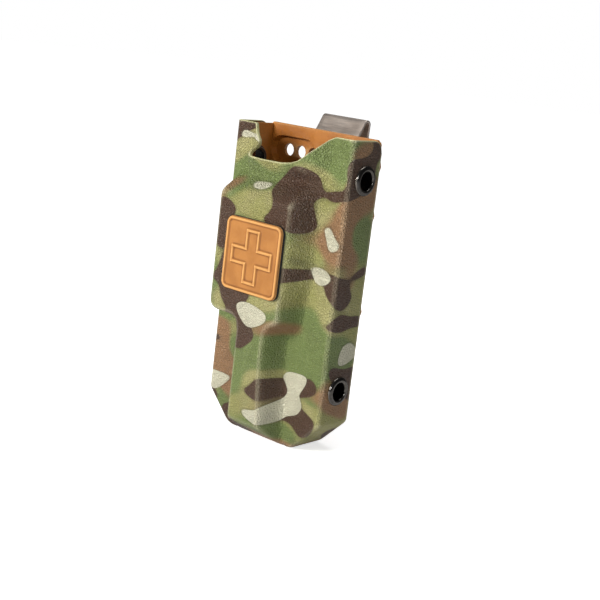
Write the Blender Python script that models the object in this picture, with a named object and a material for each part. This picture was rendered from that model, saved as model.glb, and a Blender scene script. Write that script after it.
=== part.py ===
"""Rigid belt case for a folded tourniquet.

A thermoformed front shell and a channel-shaped back plate are joined by four
eyelets through their side walls. A square rubber badge is bonded to the front
of the shell, and a sprung steel belt clip is screwed to raised pads behind the
back plate. Metres, +Z up, the front faces -Y, +X is the viewer's right. The
origin is on the underside, below the middle of the object's box.
"""

import math

import bmesh
import bpy
import numpy as np
from mathutils import Matrix, Vector

MM = 0.001

# Driving dimensions, in millimetres
HEIGHT = 165.0          # case without the clip
WIDTH = 80.0            # front shell, outside
WALL = 2.0              # sheet thickness of shell and plate
GAP = 0.3               # clearance between touching pieces
SHELL_REAR = 23.3       # rear edge of the shell's side walls
CHAMFER = 17.0          # the two lower corners are cut at 45 degrees
CORNER_R = 2.6          # bend between the front face and the side walls
FLOOR_R = 3.0
BULGE = 15.8            # how far the front bulge stands out of the front face
BADGE = 38.1            # 1.5 inch square
BADGE_X = -2.6
BADGE_Z = 98.9
PLATE_REAR = 25.8
PLATE_HALF = 37.4
PAD_RISE = 3.7
PAD_ROWS = (151.2, 125.8, 75.0)     # 25.4 mm grid, third row unused
PAD_X0, PAD_X1, PAD_R = 10.5, 28.0, 9.2
HOLE_X = (8.5, 16.9, 25.4)
HOLE_R = 3.4
EYELET_Y = 12.3
EYELET_Z = (145.0, 35.3)
EYELET_R = 7.7
EYELET_BARREL = 5.2
EYELET_BORE = 4.7
CLIP_X0, CLIP_X1 = -11.9, 17.5
CLIP_T = 1.2
CLIP_TOP = 172.9
CLIP_BEND_R = 2.1       # middle line of the strip at the crown
CLIP_BEND_Y = 38.0
CLIP_LEAN = 33.0        # degrees that the fixed leg leans back below the crown
SCREW_X = 8.5
ORIGIN_Y = 13.3         # mid depth of the whole object, so the origin is below its middle


# ---------------------------------------------------------------- scene
def clear():
    for obj in list(bpy.data.objects):
        bpy.data.objects.remove(obj, do_unlink=True)


def material(name, colour, rough, metal=0.0):
    mat = bpy.data.materials.new(name)
    mat.use_nodes = True
    bsdf = mat.node_tree.nodes["Principled BSDF"]
    bsdf.inputs["Base Color"].default_value = (*colour, 1.0)
    bsdf.inputs["Roughness"].default_value = rough
    bsdf.inputs["Metallic"].default_value = metal
    mat.diffuse_color = (*colour, 1.0)
    return mat


def to_m(p):
    return Vector((p[0] * MM, (p[1] - ORIGIN_Y) * MM, p[2] * MM))


def new_object(name, bm, mat, smooth=True, angle=35):
    bmesh.ops.remove_doubles(bm, verts=bm.verts, dist=1e-6)
    bmesh.ops.recalc_face_normals(bm, faces=bm.faces)
    mesh = bpy.data.meshes.new(name)
    bm.to_mesh(mesh)
    bm.free()
    mesh.materials.append(mat)
    if smooth:
        mesh.shade_smooth()
        mesh.set_sharp_from_angle(angle=math.radians(angle))
    obj = bpy.data.objects.new(name, mesh)
    bpy.context.scene.collection.objects.link(obj)
    return obj


def helper(name, bm):
    obj = new_object(name, bm, MATS["cutter"], smooth=False)
    obj.hide_render = True
    obj.display_type = "WIRE"
    return obj


def boolean(obj, other, operation):
    mod = obj.modifiers.new(other.name, "BOOLEAN")
    mod.operation = operation
    mod.solver = "EXACT"
    mod.object = other


# ---------------------------------------------------------------- shapes
def prism(outline, axis, a, b):
    """Extrude a closed outline of 2-D points between a and b along an axis.

    axis 'y': the outline is (x, z). axis 'x': the outline is (y, z).
    """
    bm = bmesh.new()

    def at(p, d):
        return to_m((p[0], d, p[1])) if axis == "y" else to_m((d, p[0], p[1]))

    low = [bm.verts.new(at(p, a)) for p in outline]
    high = [bm.verts.new(at(p, b)) for p in outline]
    n = len(outline)
    bm.faces.new(low)
    bm.faces.new(list(reversed(high)))
    for i in range(n):
        j = (i + 1) % n
        bm.faces.new((low[i], high[i], high[j], low[j]))
    return bm


def loft(outline_a, a, outline_b, b):
    """A tapered plug between two outlines (x, z) of equal length at depths a and b."""
    bm = bmesh.new()
    low = [bm.verts.new(to_m((p[0], a, p[1]))) for p in outline_a]
    high = [bm.verts.new(to_m((p[0], b, p[1]))) for p in outline_b]
    n = len(low)
    bm.faces.new(low)
    bm.faces.new(list(reversed(high)))
    for i in range(n):
        j = (i + 1) % n
        bm.faces.new((low[i], high[i], high[j], low[j]))
    return bm


def stadium(x0, x1, z, r, half=6):
    pts = []
    for k in range(half + 1):
        t = -math.pi / 2 + math.pi * k / half
        pts.append((x1 + r * math.cos(t), z + r * math.sin(t)))
    for k in range(half + 1):
        t = math.pi / 2 + math.pi * k / half
        pts.append((x0 + r * math.cos(t), z + r * math.sin(t)))
    return pts


def circle(x, z, r, n=12):
    return [(x + r * math.cos(2 * math.pi * k / n), z + r * math.sin(2 * math.pi * k / n)) for k in range(n)]


def rounded_square(cx, cz, half, r, n=4):
    pts = []
    for sx, sz, t0 in ((1, 1, 0), (-1, 1, 90), (-1, -1, 180), (1, -1, 270)):
        for k in range(n + 1):
            t = math.radians(t0 + 90 * k / n)
            pts.append((cx + sx * (half - r) + r * math.cos(t), cz + sz * (half - r) + r * math.sin(t)))
    return pts


def lathe(profile, centre, axis, n=16):
    """Turn a closed profile of (radius, distance along the axis) about an axis through the centre."""
    bm = bmesh.new()
    rings = []
    for k in range(n):
        t = 2 * math.pi * (k + 0.5) / n
        ring = []
        for r, d in profile:
            c, s = r * math.cos(t), r * math.sin(t)
            if axis == "x":
                p = (centre[0] + d, centre[1] + c, centre[2] + s)
            else:
                p = (centre[0] + c, centre[1] + d, centre[2] + s)
            ring.append(bm.verts.new(to_m(p)))
        rings.append(ring)
    m = len(profile)
    for k in range(n):
        a, b = rings[k], rings[(k + 1) % n]
        for i in range(m):
            j = (i + 1) % m
            if profile[i][0] == 0 and profile[j][0] == 0:
                continue
            bm.faces.new((a[i], a[j], b[j], b[i]))
    return bm


# ---------------------------------------------------------------- front shell surface
def ramp(t):
    t = np.clip(t, 0.0, 1.0)
    return t * t * (3 - 2 * t)


def smooth_min(a, b, k):
    h = np.clip(0.5 + 0.5 * (b - a) / k, 0, 1)
    return b * (1 - h) + a * h - k * h * (1 - h)


def stem_edge(z):
    """Right edge of the narrow stem below the badge field: it leans out towards the bottom."""
    return 8.6 + 3.4 * ramp((50.0 - z) / 45.0)


def bulge(x, z):
    """How far the outer surface stands in front of the front face at (x, z)."""
    x = np.asarray(x, float)
    z = np.asarray(z, float)
    upper = np.maximum(np.maximum(-31.2 - x, x - 17.2), 66.5 - z)
    corner = np.hypot(np.maximum(-27.2 - x, 0), np.maximum(70.5 - z, 0)) - 4.0
    upper = np.where((x < -27.2) & (z < 70.5), corner, upper)
    corner = np.hypot(np.maximum(x - 12.2, 0), np.maximum(71.5 - z, 0)) - 5.0
    upper = np.where((x > 12.2) & (z < 71.5), corner, upper)
    lower = np.maximum(-9.8 - x, x - stem_edge(z))
    out = smooth_min(upper, lower, 7.0)
    wide = 6.4 - 1.4 * ramp((x + 5.0) / 20.0)
    body = BULGE * ramp(1.0 - (out + 0.5) / wide)
    lip = 5.2 + 3.4 * ramp((z - 139.0) / 10.0)
    neck = lip * ramp((x + 27.0) / 5.5) * ramp((29.0 - x) / 17.0) * ramp((z - 100.0) / 12.0)
    top = ramp((140.0 - z) / 12.5)
    out = neck + (np.maximum(body, neck) - neck) * top
    return smooth_min(out, 1.6 * np.maximum(z - 1.0, 0.0), 2.0) if np.ndim(z) else out


def rim(x):
    """Height of the front shell's upper edge at x: high ears with a thumb notch between them."""
    xs = [-45, -25.6, -24.4, -22.6, -20.6, -12.0, 1.0, 8.0, 12.4, 15.1, 20.7, 25.0, 28.2, 45]
    zs = [165, 165.0, 160.0, 151.0, 148.3, 148.0, 148.2, 149.2, 150.8, 153.1, 158.9, 163.2, 165.0, 165]
    return np.interp(x, xs, zs)


def half_width(z):
    """Half the outside width at height z, with the 45 degree lower corners."""
    return np.minimum(WIDTH / 2, WIDTH / 2 - CHAMFER + np.maximum(z, 0.0))


FRONT_X = (-36.0, -33.8, -31.2, -27.0, -22.0, -18.0, -13.6, -10.6, -8.5, 0.0, 7.6, 10.6, 13.6, 16.8, 19.4, 22.4, 25.5, 29.0, 34.0)
ROWS = (3.0, 6.0, 9.0, 12.5, 17.0, 26.0, 40.0, 54.0, 59.5, 62.5, 65.5, 69.0, 76.0, 90.0, 106.0, 120.0, 125.5, 129.0, 132.5, 136.0, 139.5)
TOP_STEPS = (0.3, 0.55, 0.8, 1.0)


def section(z, inset):
    """One row of the shell: left rear edge, round the front, right rear edge. Points are (x, y)."""
    w = float(half_width(z)) - inset * (1.0 if z > CHAMFER else math.sqrt(2))
    r = max(CORNER_R - inset, 1.2)
    left = [(-w, SHELL_REAR), (-w, 18.5), (-w, 12.3), (-w, r + inset), (-w + 0.29 * r, inset + 0.29 * r), (-w + r, inset)]
    full = WIDTH / 2 - inset - r
    squeeze = (w - r - 14.0) / (full - 14.0)       # the lower corners narrow the outer columns only
    lean = float(stem_edge(z)) - 8.6               # columns beside the stem follow its leaning edge
    follow = {7.6: 1.0, 10.6: 0.85, 13.6: 0.3}
    front = []
    for x in FRONT_X:
        if abs(x) < 14.0:
            front.append((x + lean * follow.get(x, 0.0), None))
        else:
            front.append((math.copysign(14.0 + (abs(x) - 14.0) * squeeze, x), None))
    right = [(-p[0], p[1]) for p in reversed(left)]
    return left, front, right


def shell_point_row(z_of, inset):
    """Row of outer (inset 0) or inner (inset WALL) points at heights given by z_of(x)."""
    row = []
    base = z_of(-WIDTH / 2)
    left, front, right = section(base, inset)
    for x, y in left:
        row.append((x, y, z_of(x)))
    for x, _ in front:
        z = z_of(x)
        if inset:
            step = 0.45 * inset
            near = [bulge(np.array([x + dx]), np.array([z + dz]))[0] for dx, dz in ((0, 0), (inset, 0), (-inset, 0), (0, inset * 0.6), (0, -inset * 0.6))]
            row.append((x, inset - min(near) * 1.0, z))
        else:
            row.append((x, -float(bulge(np.array([x]), np.array([z]))[0]), z))
    for x, y in right:
        row.append((x, y, z_of(x)))
    return row


def shell_rows(inset):
    rows = []
    for z in ROWS:
        rows.append(shell_point_row(lambda x, z=z: z, inset))
    base = ROWS[-1]
    for k in TOP_STEPS:
        row = shell_point_row(lambda x, k=k: base + (float(rim(x)) - base) * k, inset)
        for i, drop in ((0, 6.0), (1, 1.2)):           # the upper rear corners are rounded off
            for j in (i, len(row) - 1 - i):
                row[j] = (row[j][0], row[j][1], row[j][2] - drop * k)
        rows.append(row)
    return rows


def floor_rows(first, z, drop):
    """Close the shell underneath: a rounded edge, then a flat floor back to the rear line."""
    count = len(first)
    rear_w = abs(first[0][0]) - drop
    rows = []
    for depth, dz in ((0.0, 0.3), (0.35, 0.0)):
        row = []
        for x, y, _ in first:
            inward = drop * (0.55 if depth == 0 else 1.0)
            nx = x * (abs(first[0][0]) - inward) / abs(first[0][0])
            ny = y + (inward if y < SHELL_REAR - 0.1 else 0.0)
            row.append((nx, min(ny, SHELL_REAR), z + (ROWS[0]) * (0.0 if depth else 0.28)))
        rows.append(row)
    last = []
    for i in range(count):
        t = i / (count - 1)
        last.append((rows[-1][0][0] + (rows[-1][-1][0] - rows[-1][0][0]) * t, SHELL_REAR, z))
    rows.append(last)
    return rows


def front_shell():
    outer = shell_rows(0.0)
    inner = shell_rows(WALL)
    inner = inner[1:]                      # the inner floor starts above the outer one
    outer = list(reversed(floor_rows(outer[0], 0.0, 3.0))) + outer
    low = [(p[0], p[1], max(p[2], WALL + 2.4)) for p in inner[0]]
    inner[0] = low
    inner_floor = []
    for k in (1.0, 0.0):
        row = []
        for x, y, z in low:
            if k:
                row.append((x * (abs(low[0][0]) - 2.0) / abs(low[0][0]), min(y + (1.5 if y < SHELL_REAR - 0.1 else 0), SHELL_REAR), WALL))
            else:
                row.append(None)
        inner_floor.append(row)
    n = len(low)
    first = inner_floor[0]
    inner_floor[1] = [(first[0][0] + (first[-1][0] - first[0][0]) * i / (n - 1), SHELL_REAR, WALL) for i in range(n)]
    inner = list(reversed(inner_floor)) + inner

    bm = bmesh.new()
    cache = {}

    def vert(p):
        key = (round(p[0], 4), round(p[1], 4), round(p[2], 4))
        if key not in cache:
            cache[key] = bm.verts.new(to_m(p))
        return cache[key]

    def quad(a, b, c, d):
        vs = []
        for p in (a, b, c, d):
            v = vert(p)
            if v not in vs:
                vs.append(v)
        if len(vs) >= 3:
            try:
                bm.faces.new(vs)
            except ValueError:
                pass

    def skin(rows, flip):
        for r in range(len(rows) - 1):
            for i in range(len(rows[r]) - 1):
                a, b, c, d = rows[r][i], rows[r][i + 1], rows[r + 1][i + 1], rows[r + 1][i]
                # the two end cells of the floor rows are slivers on the rear line
                quad(*((d, c, b, a) if flip else (a, b, c, d)))

    skin(outer, False)
    skin(inner, True)
    # rim along the top
    for i in range(n - 1):
        quad(outer[-1][i], outer[-1][i + 1], inner[-1][i + 1], inner[-1][i])
    # rear edges: join the two boundary chains that run down, under and up the rear
    def chain(rows):
        left = [r[0] for r in reversed(rows[1:])]
        bottom = rows[0]
        right = [r[-1] for r in rows[1:]]
        return left + bottom + right

    a, b = chain(outer), chain(inner)

    def length(c):
        out = [0.0]
        for p, q in zip(c, c[1:]):
            out.append(out[-1] + math.dist(p, q))
        return [v / out[-1] for v in out]

    la, lb = length(a), length(b)
    i = j = 0
    while i < len(a) - 1 or j < len(b) - 1:
        step_a = j == len(b) - 1 or (i < len(a) - 1 and la[i + 1] <= lb[j + 1])
        if step_a:
            quad(a[i], b[j], b[j], a[i + 1])
            i += 1
        else:
            quad(a[i], b[j], b[j + 1], b[j + 1])
            j += 1
    shell = new_object("front_shell", bm, MATS["camo"])
    for side in (-1, 1):
        for z in EYELET_Z:
            hole = helper(f"cut_shell_{side}_{int(z)}", lathe([(0.0, -6.0), (EYELET_BARREL + GAP, -6.0), (EYELET_BARREL + GAP, 6.0), (0.0, 6.0)], (side * 39.0, EYELET_Y, z), "x", 12))
            boolean(shell, hole, "DIFFERENCE")
    return shell


# ---------------------------------------------------------------- back plate
def back_plate():
    h = PLATE_HALF
    outline = [(-h, 18.4), (-22.2, 3.2), (22.2, 3.2), (h, 18.4), (h, HEIGHT - 2.0), (h - 2.0, HEIGHT), (-h + 2.0, HEIGHT), (-h, HEIGHT - 2.0)]
    plate = new_object("back_plate", prism(outline, "y", PLATE_REAR - WALL, PLATE_REAR), MATS["tan"])
    for side in (-1, 1):
        flange = [(5.0, 26.0), (9.0, 22.0), (PLATE_REAR - 0.5, 22.0), (PLATE_REAR - 0.5, HEIGHT - 1.0), (9.0, HEIGHT - 1.0), (5.0, HEIGHT - 5.0)]
        a, b = sorted((side * h, side * (h - WALL)))
        boolean(plate, helper(f"add_flange_{side}", prism(flange, "x", a, b)), "UNION")
        for row, z in enumerate(PAD_ROWS):
            x0, x1 = (PAD_X0, PAD_X1) if side > 0 else (-PAD_X1, -PAD_X0)
            pad = loft(stadium(x0, x1, z, PAD_R), PLATE_REAR - 0.6, stadium(x0, x1, z, PAD_R - 1.1), PLATE_REAR + PAD_RISE)
            boolean(plate, helper(f"add_pad_{side}_{row}", pad), "UNION")
    for side in (-1, 1):
        for row, z in enumerate(PAD_ROWS):
            x0, x1 = (PAD_X0, PAD_X1) if side > 0 else (-PAD_X1, -PAD_X0)
            dish = loft(stadium(x0, x1, z, PAD_R - 1.4), PLATE_REAR - WALL - 1.0, stadium(x0, x1, z, PAD_R - 2.6), PLATE_REAR + PAD_RISE - 2.1)
            boolean(plate, helper(f"cut_dish_{side}_{row}", dish), "DIFFERENCE")
            for x in HOLE_X:
                hole = prism(circle(side * x, z, HOLE_R), "y", PLATE_REAR, PLATE_REAR + PAD_RISE + 3)
                boolean(plate, helper(f"cut_hole_{side}_{row}_{int(x)}", hole), "DIFFERENCE")
        for z in EYELET_Z:
            hole = lathe([(0.0, -6.0), (EYELET_BARREL + GAP, -6.0), (EYELET_BARREL + GAP, 6.0), (0.0, 6.0)], (side * (h - 1.0), EYELET_Y, z), "x", 12)
            boolean(plate, helper(f"cut_plate_{side}_{int(z)}", hole), "DIFFERENCE")
    return plate


# ---------------------------------------------------------------- badge
def badge():
    front = -BULGE - GAP
    pad = rounded_square(BADGE_X, BADGE_Z, BADGE / 2 - 2.0, 2.5)
    new_object("badge_adhesive_pad", prism(pad, "y", front - 0.7, front), MATS["foam"], smooth=False)
    back = front - 0.7 - GAP
    bm = prism(rounded_square(BADGE_X, BADGE_Z, BADGE / 2, 4.0), "y", back - 1.6, back)
    obj = new_object("cross_badge", bm, MATS["tan_rubber"])
    # a sunk field leaves the raised border, and the cross is a raised outline in that field
    field = prism(rounded_square(BADGE_X, BADGE_Z, BADGE / 2 - 1.6, 2.6), "y", back - 3.0, back - 1.1)
    boolean(obj, helper("cut_badge_field", field), "DIFFERENCE")

    def cross(half, arm):
        a, b = half, arm
        return [(BADGE_X + x, BADGE_Z + z) for x, z in ((-b, -a), (b, -a), (b, -b), (a, -b), (a, b), (b, b), (b, a), (-b, a), (-b, b), (-a, b), (-a, -b), (-b, -b))]

    boolean(obj, helper("add_cross", prism(cross(14.2, 5.8), "y", back - 1.7, back - 0.6)), "UNION")
    boolean(obj, helper("cut_cross", prism(cross(12.4, 4.0), "y", back - 3.0, back - 1.1)), "DIFFERENCE")
    return obj


# ---------------------------------------------------------------- eyelets
def eyelets():
    for side, side_name in ((1, "right"), (-1, "left")):
        for z, level in zip(EYELET_Z, ("upper", "lower")):
            x = side * WIDTH / 2
            inner_face = -(WIDTH / 2 - PLATE_HALF + WALL)          # distance from the shell's skin to the plate's inside
            b, r = EYELET_BORE, EYELET_R
            washer_a, washer_b = inner_face - GAP, inner_face - GAP - 0.8
            curl = washer_b - GAP
            profile = [(b, 0.9), (b + 0.5, 1.5), (b + 1.3, 1.75), (r - 0.5, 1.3), (r, 0.7), (r - 0.1, GAP), (EYELET_BARREL, GAP), (EYELET_BARREL, curl), (6.4, curl), (6.6, curl - 0.5), (6.0, curl - 1.0), (b, curl - 1.0)]
            profile = [(p[0], side * p[1]) for p in profile]
            new_object(f"eyelet_{side_name}_{level}", lathe(profile, (x, EYELET_Y, z), "x", 20), MATS["nickel"])
            washer = [(EYELET_BARREL + GAP, side * washer_a), (7.4, side * washer_a), (7.4, side * washer_b), (EYELET_BARREL + GAP, side * washer_b)]
            new_object(f"eyelet_washer_{side_name}_{level}", lathe(washer, (x, EYELET_Y, z), "x", 16), MATS["nickel"])


# ---------------------------------------------------------------- belt clip
CLIP_FRONT = PLATE_REAR + PAD_RISE + GAP        # front face of the fixed leg
LOOP_Z = CLIP_TOP - CLIP_BEND_R - CLIP_T / 2
SPLIT = 0.15                                    # half the gap between the legs at the crown


def strip(path, name, corner=None):
    """A strip of sheet steel along a path of (y, z) points, CLIP_X0 to CLIP_X1 wide."""
    n = len(path)
    left, right = [], []
    for i, (y, z) in enumerate(path):
        a = path[max(i - 1, 0)]
        b = path[min(i + 1, n - 1)]
        d = Vector((b[0] - a[0], b[1] - a[1])).normalized()
        nrm = Vector((-d.y, d.x))
        left.append((y + nrm.x * CLIP_T / 2, z + nrm.y * CLIP_T / 2))
        right.append((y - nrm.x * CLIP_T / 2, z - nrm.y * CLIP_T / 2))
    return prism(left + list(reversed(right)), "x", CLIP_X0, CLIP_X1)


def crown(degrees):
    """Point of the strip's middle line on the crown: 0 is the rear leg, 90 the top."""
    t = math.radians(degrees)
    return (CLIP_BEND_Y + CLIP_BEND_R * math.cos(t), LOOP_Z + CLIP_BEND_R * math.sin(t))


def belt_clip():
    y_fixed = CLIP_FRONT + CLIP_T / 2
    lean = math.radians(CLIP_LEAN)
    meet = crown(180 - CLIP_LEAN)
    run = (meet[0] - y_fixed) / math.tan(lean)
    knee = meet[1] - run
    fixed = [(y_fixed, 60.0), (y_fixed, 100.0), (y_fixed, knee - 2.5), (y_fixed + 0.35, knee - 0.5), (y_fixed + 1.3, knee + 1.6), meet]
    fixed += [crown(a) for a in (132, 117, 103)]
    fixed.append((CLIP_BEND_Y - SPLIT, LOOP_Z + CLIP_BEND_R))
    leg = new_object("belt_clip_fixed_leg", strip(fixed, "fixed"), MATS["steel"])
    for row, z in enumerate(PAD_ROWS):
        hole = prism(circle(SCREW_X, z, 2.2), "y", CLIP_FRONT - 2, CLIP_FRONT + CLIP_T + 2)
        boolean(leg, helper(f"cut_clip_{row}", hole), "DIFFERENCE")

    spring = [(CLIP_BEND_Y + SPLIT, LOOP_Z + CLIP_BEND_R)] + [crown(a) for a in (72, 54, 36, 18)]
    y = CLIP_BEND_Y + CLIP_BEND_R
    spring += [(y, LOOP_Z), (y - 0.7, 146.0), (y - 2.6, 118.0), (y - 4.4, 98.0), (y - 4.8, 91.0), (y - 4.0, 86.0), (y - 1.4, 80.0), (y + 2.4, 73.0), (y + 4.8, 68.0)]
    leg = new_object("belt_clip_spring_leg", strip(spring, "spring"), MATS["steel"])
    # its origin is on the line it bends about, across the crown
    hinge = to_m((0.0, CLIP_BEND_Y, LOOP_Z + CLIP_BEND_R))
    leg.data.transform(Matrix.Translation(-hinge))
    leg.location = hinge


def screws():
    floor = PLATE_REAR + PAD_RISE - 2.1          # bottom of the dish, seen from inside
    head = CLIP_FRONT + CLIP_T + GAP
    for z, level in zip(PAD_ROWS, ("upper", "middle", "lower")):
        c = (SCREW_X, 0.0, z)
        seal = [(3.15, floor - GAP - 0.7), (4.2, floor - GAP - 0.7), (4.2, floor - GAP), (3.15, floor - GAP)]
        new_object(f"rubber_washer_{level}", lathe(seal, c, "y", 14), MATS["rubber"])
        top = floor - GAP - 0.7 - GAP
        nut = [(2.1, top - 1.1), (3.9, top - 1.1), (4.2, top - 0.7), (4.2, top), (2.85, top), (2.85, CLIP_FRONT - 0.4), (2.1, CLIP_FRONT - 0.4)]
        new_object(f"binding_post_{level}", lathe(nut, c, "y", 14), MATS["black_steel"])
        screw = [(0.0, top - 0.2), (1.8, top - 0.2), (1.8, head), (4.3, head), (4.3, head + 0.5), (3.4, head + 1.2), (1.7, head + 1.35), (1.5, head + 0.55), (0.0, head + 0.55)]
        new_object(f"clip_screw_{level}", lathe(screw, c, "y", 14), MATS["black_steel"])


clear()
MATS = {
    "camo": material("camouflage_thermoplastic", (0.22, 0.25, 0.14), 0.48),
    "tan": material("coyote_thermoplastic", (0.42, 0.15, 0.035), 0.5),
    "tan_rubber": material("coyote_rubber", (0.62, 0.28, 0.07), 0.55),
    "foam": material("adhesive_foam", (0.02, 0.02, 0.02), 0.9),
    "nickel": material("black_nickel", (0.12, 0.12, 0.13), 0.22, 1.0),
    "steel": material("brushed_spring_steel", (0.42, 0.36, 0.33), 0.38, 1.0),
    "black_steel": material("black_oxide_steel", (0.03, 0.03, 0.03), 0.4, 1.0),
    "rubber": material("black_rubber", (0.02, 0.02, 0.02), 0.8),
    "cutter": material("cutter", (1.0, 0.0, 1.0), 0.5),
}
front_shell()
back_plate()
badge()
eyelets()
belt_clip()
screws()
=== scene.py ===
"""Looks of the carrier case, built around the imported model. Lengths are in millimetres until they become vertices."""
import math

import bmesh
import bpy
import numpy as np
from mathutils import Matrix, Vector


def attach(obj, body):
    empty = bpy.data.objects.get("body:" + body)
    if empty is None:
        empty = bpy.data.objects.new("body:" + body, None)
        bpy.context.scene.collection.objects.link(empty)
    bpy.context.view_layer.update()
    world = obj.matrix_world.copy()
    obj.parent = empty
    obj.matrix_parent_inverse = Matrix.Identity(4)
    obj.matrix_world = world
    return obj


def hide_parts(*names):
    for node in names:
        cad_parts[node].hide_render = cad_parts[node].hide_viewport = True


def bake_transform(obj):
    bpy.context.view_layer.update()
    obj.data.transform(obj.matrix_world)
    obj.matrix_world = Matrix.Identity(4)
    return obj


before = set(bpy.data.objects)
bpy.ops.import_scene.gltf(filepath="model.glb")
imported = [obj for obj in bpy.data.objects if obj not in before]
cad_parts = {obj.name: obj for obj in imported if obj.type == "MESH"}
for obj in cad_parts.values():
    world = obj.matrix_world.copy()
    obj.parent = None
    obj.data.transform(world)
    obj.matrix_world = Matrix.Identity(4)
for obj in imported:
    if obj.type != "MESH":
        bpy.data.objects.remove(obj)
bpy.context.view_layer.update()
MM = 0.001
OY = 13.3                      # depth of the row's origin behind the shell's front face
TOP, WIDTH, WALL, REAR = 165.0, 80.0, 2.0, 23.3
CORNER, FILLET, BULGE = 2.6, 3.0, 15.8
PLATE_REAR, PLATE_HALF, PAD_RISE = 25.8, 37.4, 3.7
PAD_ROWS = (151.2, 125.8, 75.0)
HOLES = (8.5, 16.9, 25.4)
EYELET_Y, EYELET_Z = 12.3, (145.0, 35.3)
LEVELS = (("upper", 145.0), ("lower", 35.3))
rng = np.random.default_rng(11)


def srgb(r, g, b):
    out = []
    for c in (r, g, b):
        c /= 255.0
        out.append(c / 12.92 if c <= 0.04045 else ((c + 0.055) / 1.055) ** 2.4)
    return (*out, 1.0)


# ------------------------------------------------------------------ node helper
class Graph:
    def __init__(self, name):
        self.mat = bpy.data.materials.new(name)
        self.mat.use_nodes = True
        self.tree = self.mat.node_tree
        self.bsdf = self.tree.nodes["Principled BSDF"]

    def node(self, kind, **settings):
        n = self.tree.nodes.new(kind)
        for k, v in settings.items():
            setattr(n, k, v)
        return n

    def put(self, socket, value):
        if isinstance(value, bpy.types.NodeSocket):
            self.tree.links.new(value, socket)
        elif value is not None:
            socket.default_value = value

    def math(self, op, a, b=None, c=None, clamp=False):
        n = self.node("ShaderNodeMath", operation=op, use_clamp=clamp)
        for i, v in enumerate((a, b, c)):
            self.put(n.inputs[i], v)
        return n.outputs[0]

    def vec(self, op, a, b=None, scale=None):
        n = self.node("ShaderNodeVectorMath", operation=op)
        self.put(n.inputs[0], a)
        if b is not None:
            self.put(n.inputs[1], b)
        if scale is not None:
            self.put(n.inputs["Scale"], scale)
        return n.outputs["Value"] if op in ("LENGTH", "DOT_PRODUCT", "DISTANCE") else n.outputs["Vector"]

    def mix(self, fac, a, b, blend="MIX"):
        n = self.node("ShaderNodeMix", data_type="RGBA", blend_type=blend)
        self.put(n.inputs[0], fac)
        self.put(n.inputs[6], a)
        self.put(n.inputs[7], b)
        return n.outputs[2]

    def span(self, value, a, b, lo=0.0, hi=1.0, smooth=True):
        n = self.node("ShaderNodeMapRange", interpolation_type="SMOOTHSTEP" if smooth else "LINEAR")
        for i, v in enumerate((value, a, b, lo, hi)):
            self.put(n.inputs[i], v)
        return n.outputs[0]

    def noise(self, vector, scale, detail=2.0, rough=0.5, color=False):
        n = self.node("ShaderNodeTexNoise")
        self.put(n.inputs["Vector"], vector)
        n.inputs["Scale"].default_value = scale
        n.inputs["Detail"].default_value = detail
        n.inputs["Roughness"].default_value = rough
        return n.outputs["Color"] if color else n.outputs[0]

    def voronoi(self, vector, scale, feature="F1", jitter=1.0):
        n = self.node("ShaderNodeTexVoronoi", feature=feature)
        self.put(n.inputs["Vector"], vector)
        n.inputs["Scale"].default_value = scale
        n.inputs["Randomness"].default_value = jitter
        return n.outputs["Distance"]

    def split(self, vector):
        n = self.node("ShaderNodeSeparateXYZ")
        self.put(n.inputs[0], vector)
        return n.outputs[0], n.outputs[1], n.outputs[2]

    def object_mm(self):
        return self.vec("SCALE", self.node("ShaderNodeTexCoord").outputs["Object"], scale=1000.0)

    def bump(self, height, distance, strength=1.0, normal=None):
        n = self.node("ShaderNodeBump")
        n.inputs["Strength"].default_value = strength
        n.inputs["Distance"].default_value = distance
        self.put(n.inputs["Height"], height)
        if normal is not None:
            self.put(n.inputs["Normal"], normal)
        return n.outputs[0]

    def edges(self, lo=0.515, hi=0.60):
        return self.span(self.node("ShaderNodeNewGeometry").outputs["Pointiness"], lo, hi)


def leather_grain(g, mm, size=1.35, noise_size=0.5):
    """Haircell grain of formed sheet: flat-topped cells between fine valleys, uneven in height."""
    warp = g.vec("SCALE", g.vec("SUBTRACT", g.noise(mm, 0.9, 2.0, color=True), (0.5, 0.5, 0.5)), scale=0.9)
    p = g.vec("ADD", mm, warp)
    cells = g.span(g.voronoi(p, 1.0 / size, "DISTANCE_TO_EDGE"), -0.06, 0.34)
    lumps = g.noise(mm, 1.0 / noise_size * 0.5, 3.0, 0.6)
    return g.math("MULTIPLY_ADD", lumps, 0.55, g.math("MULTIPLY", cells, 0.6))


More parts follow.
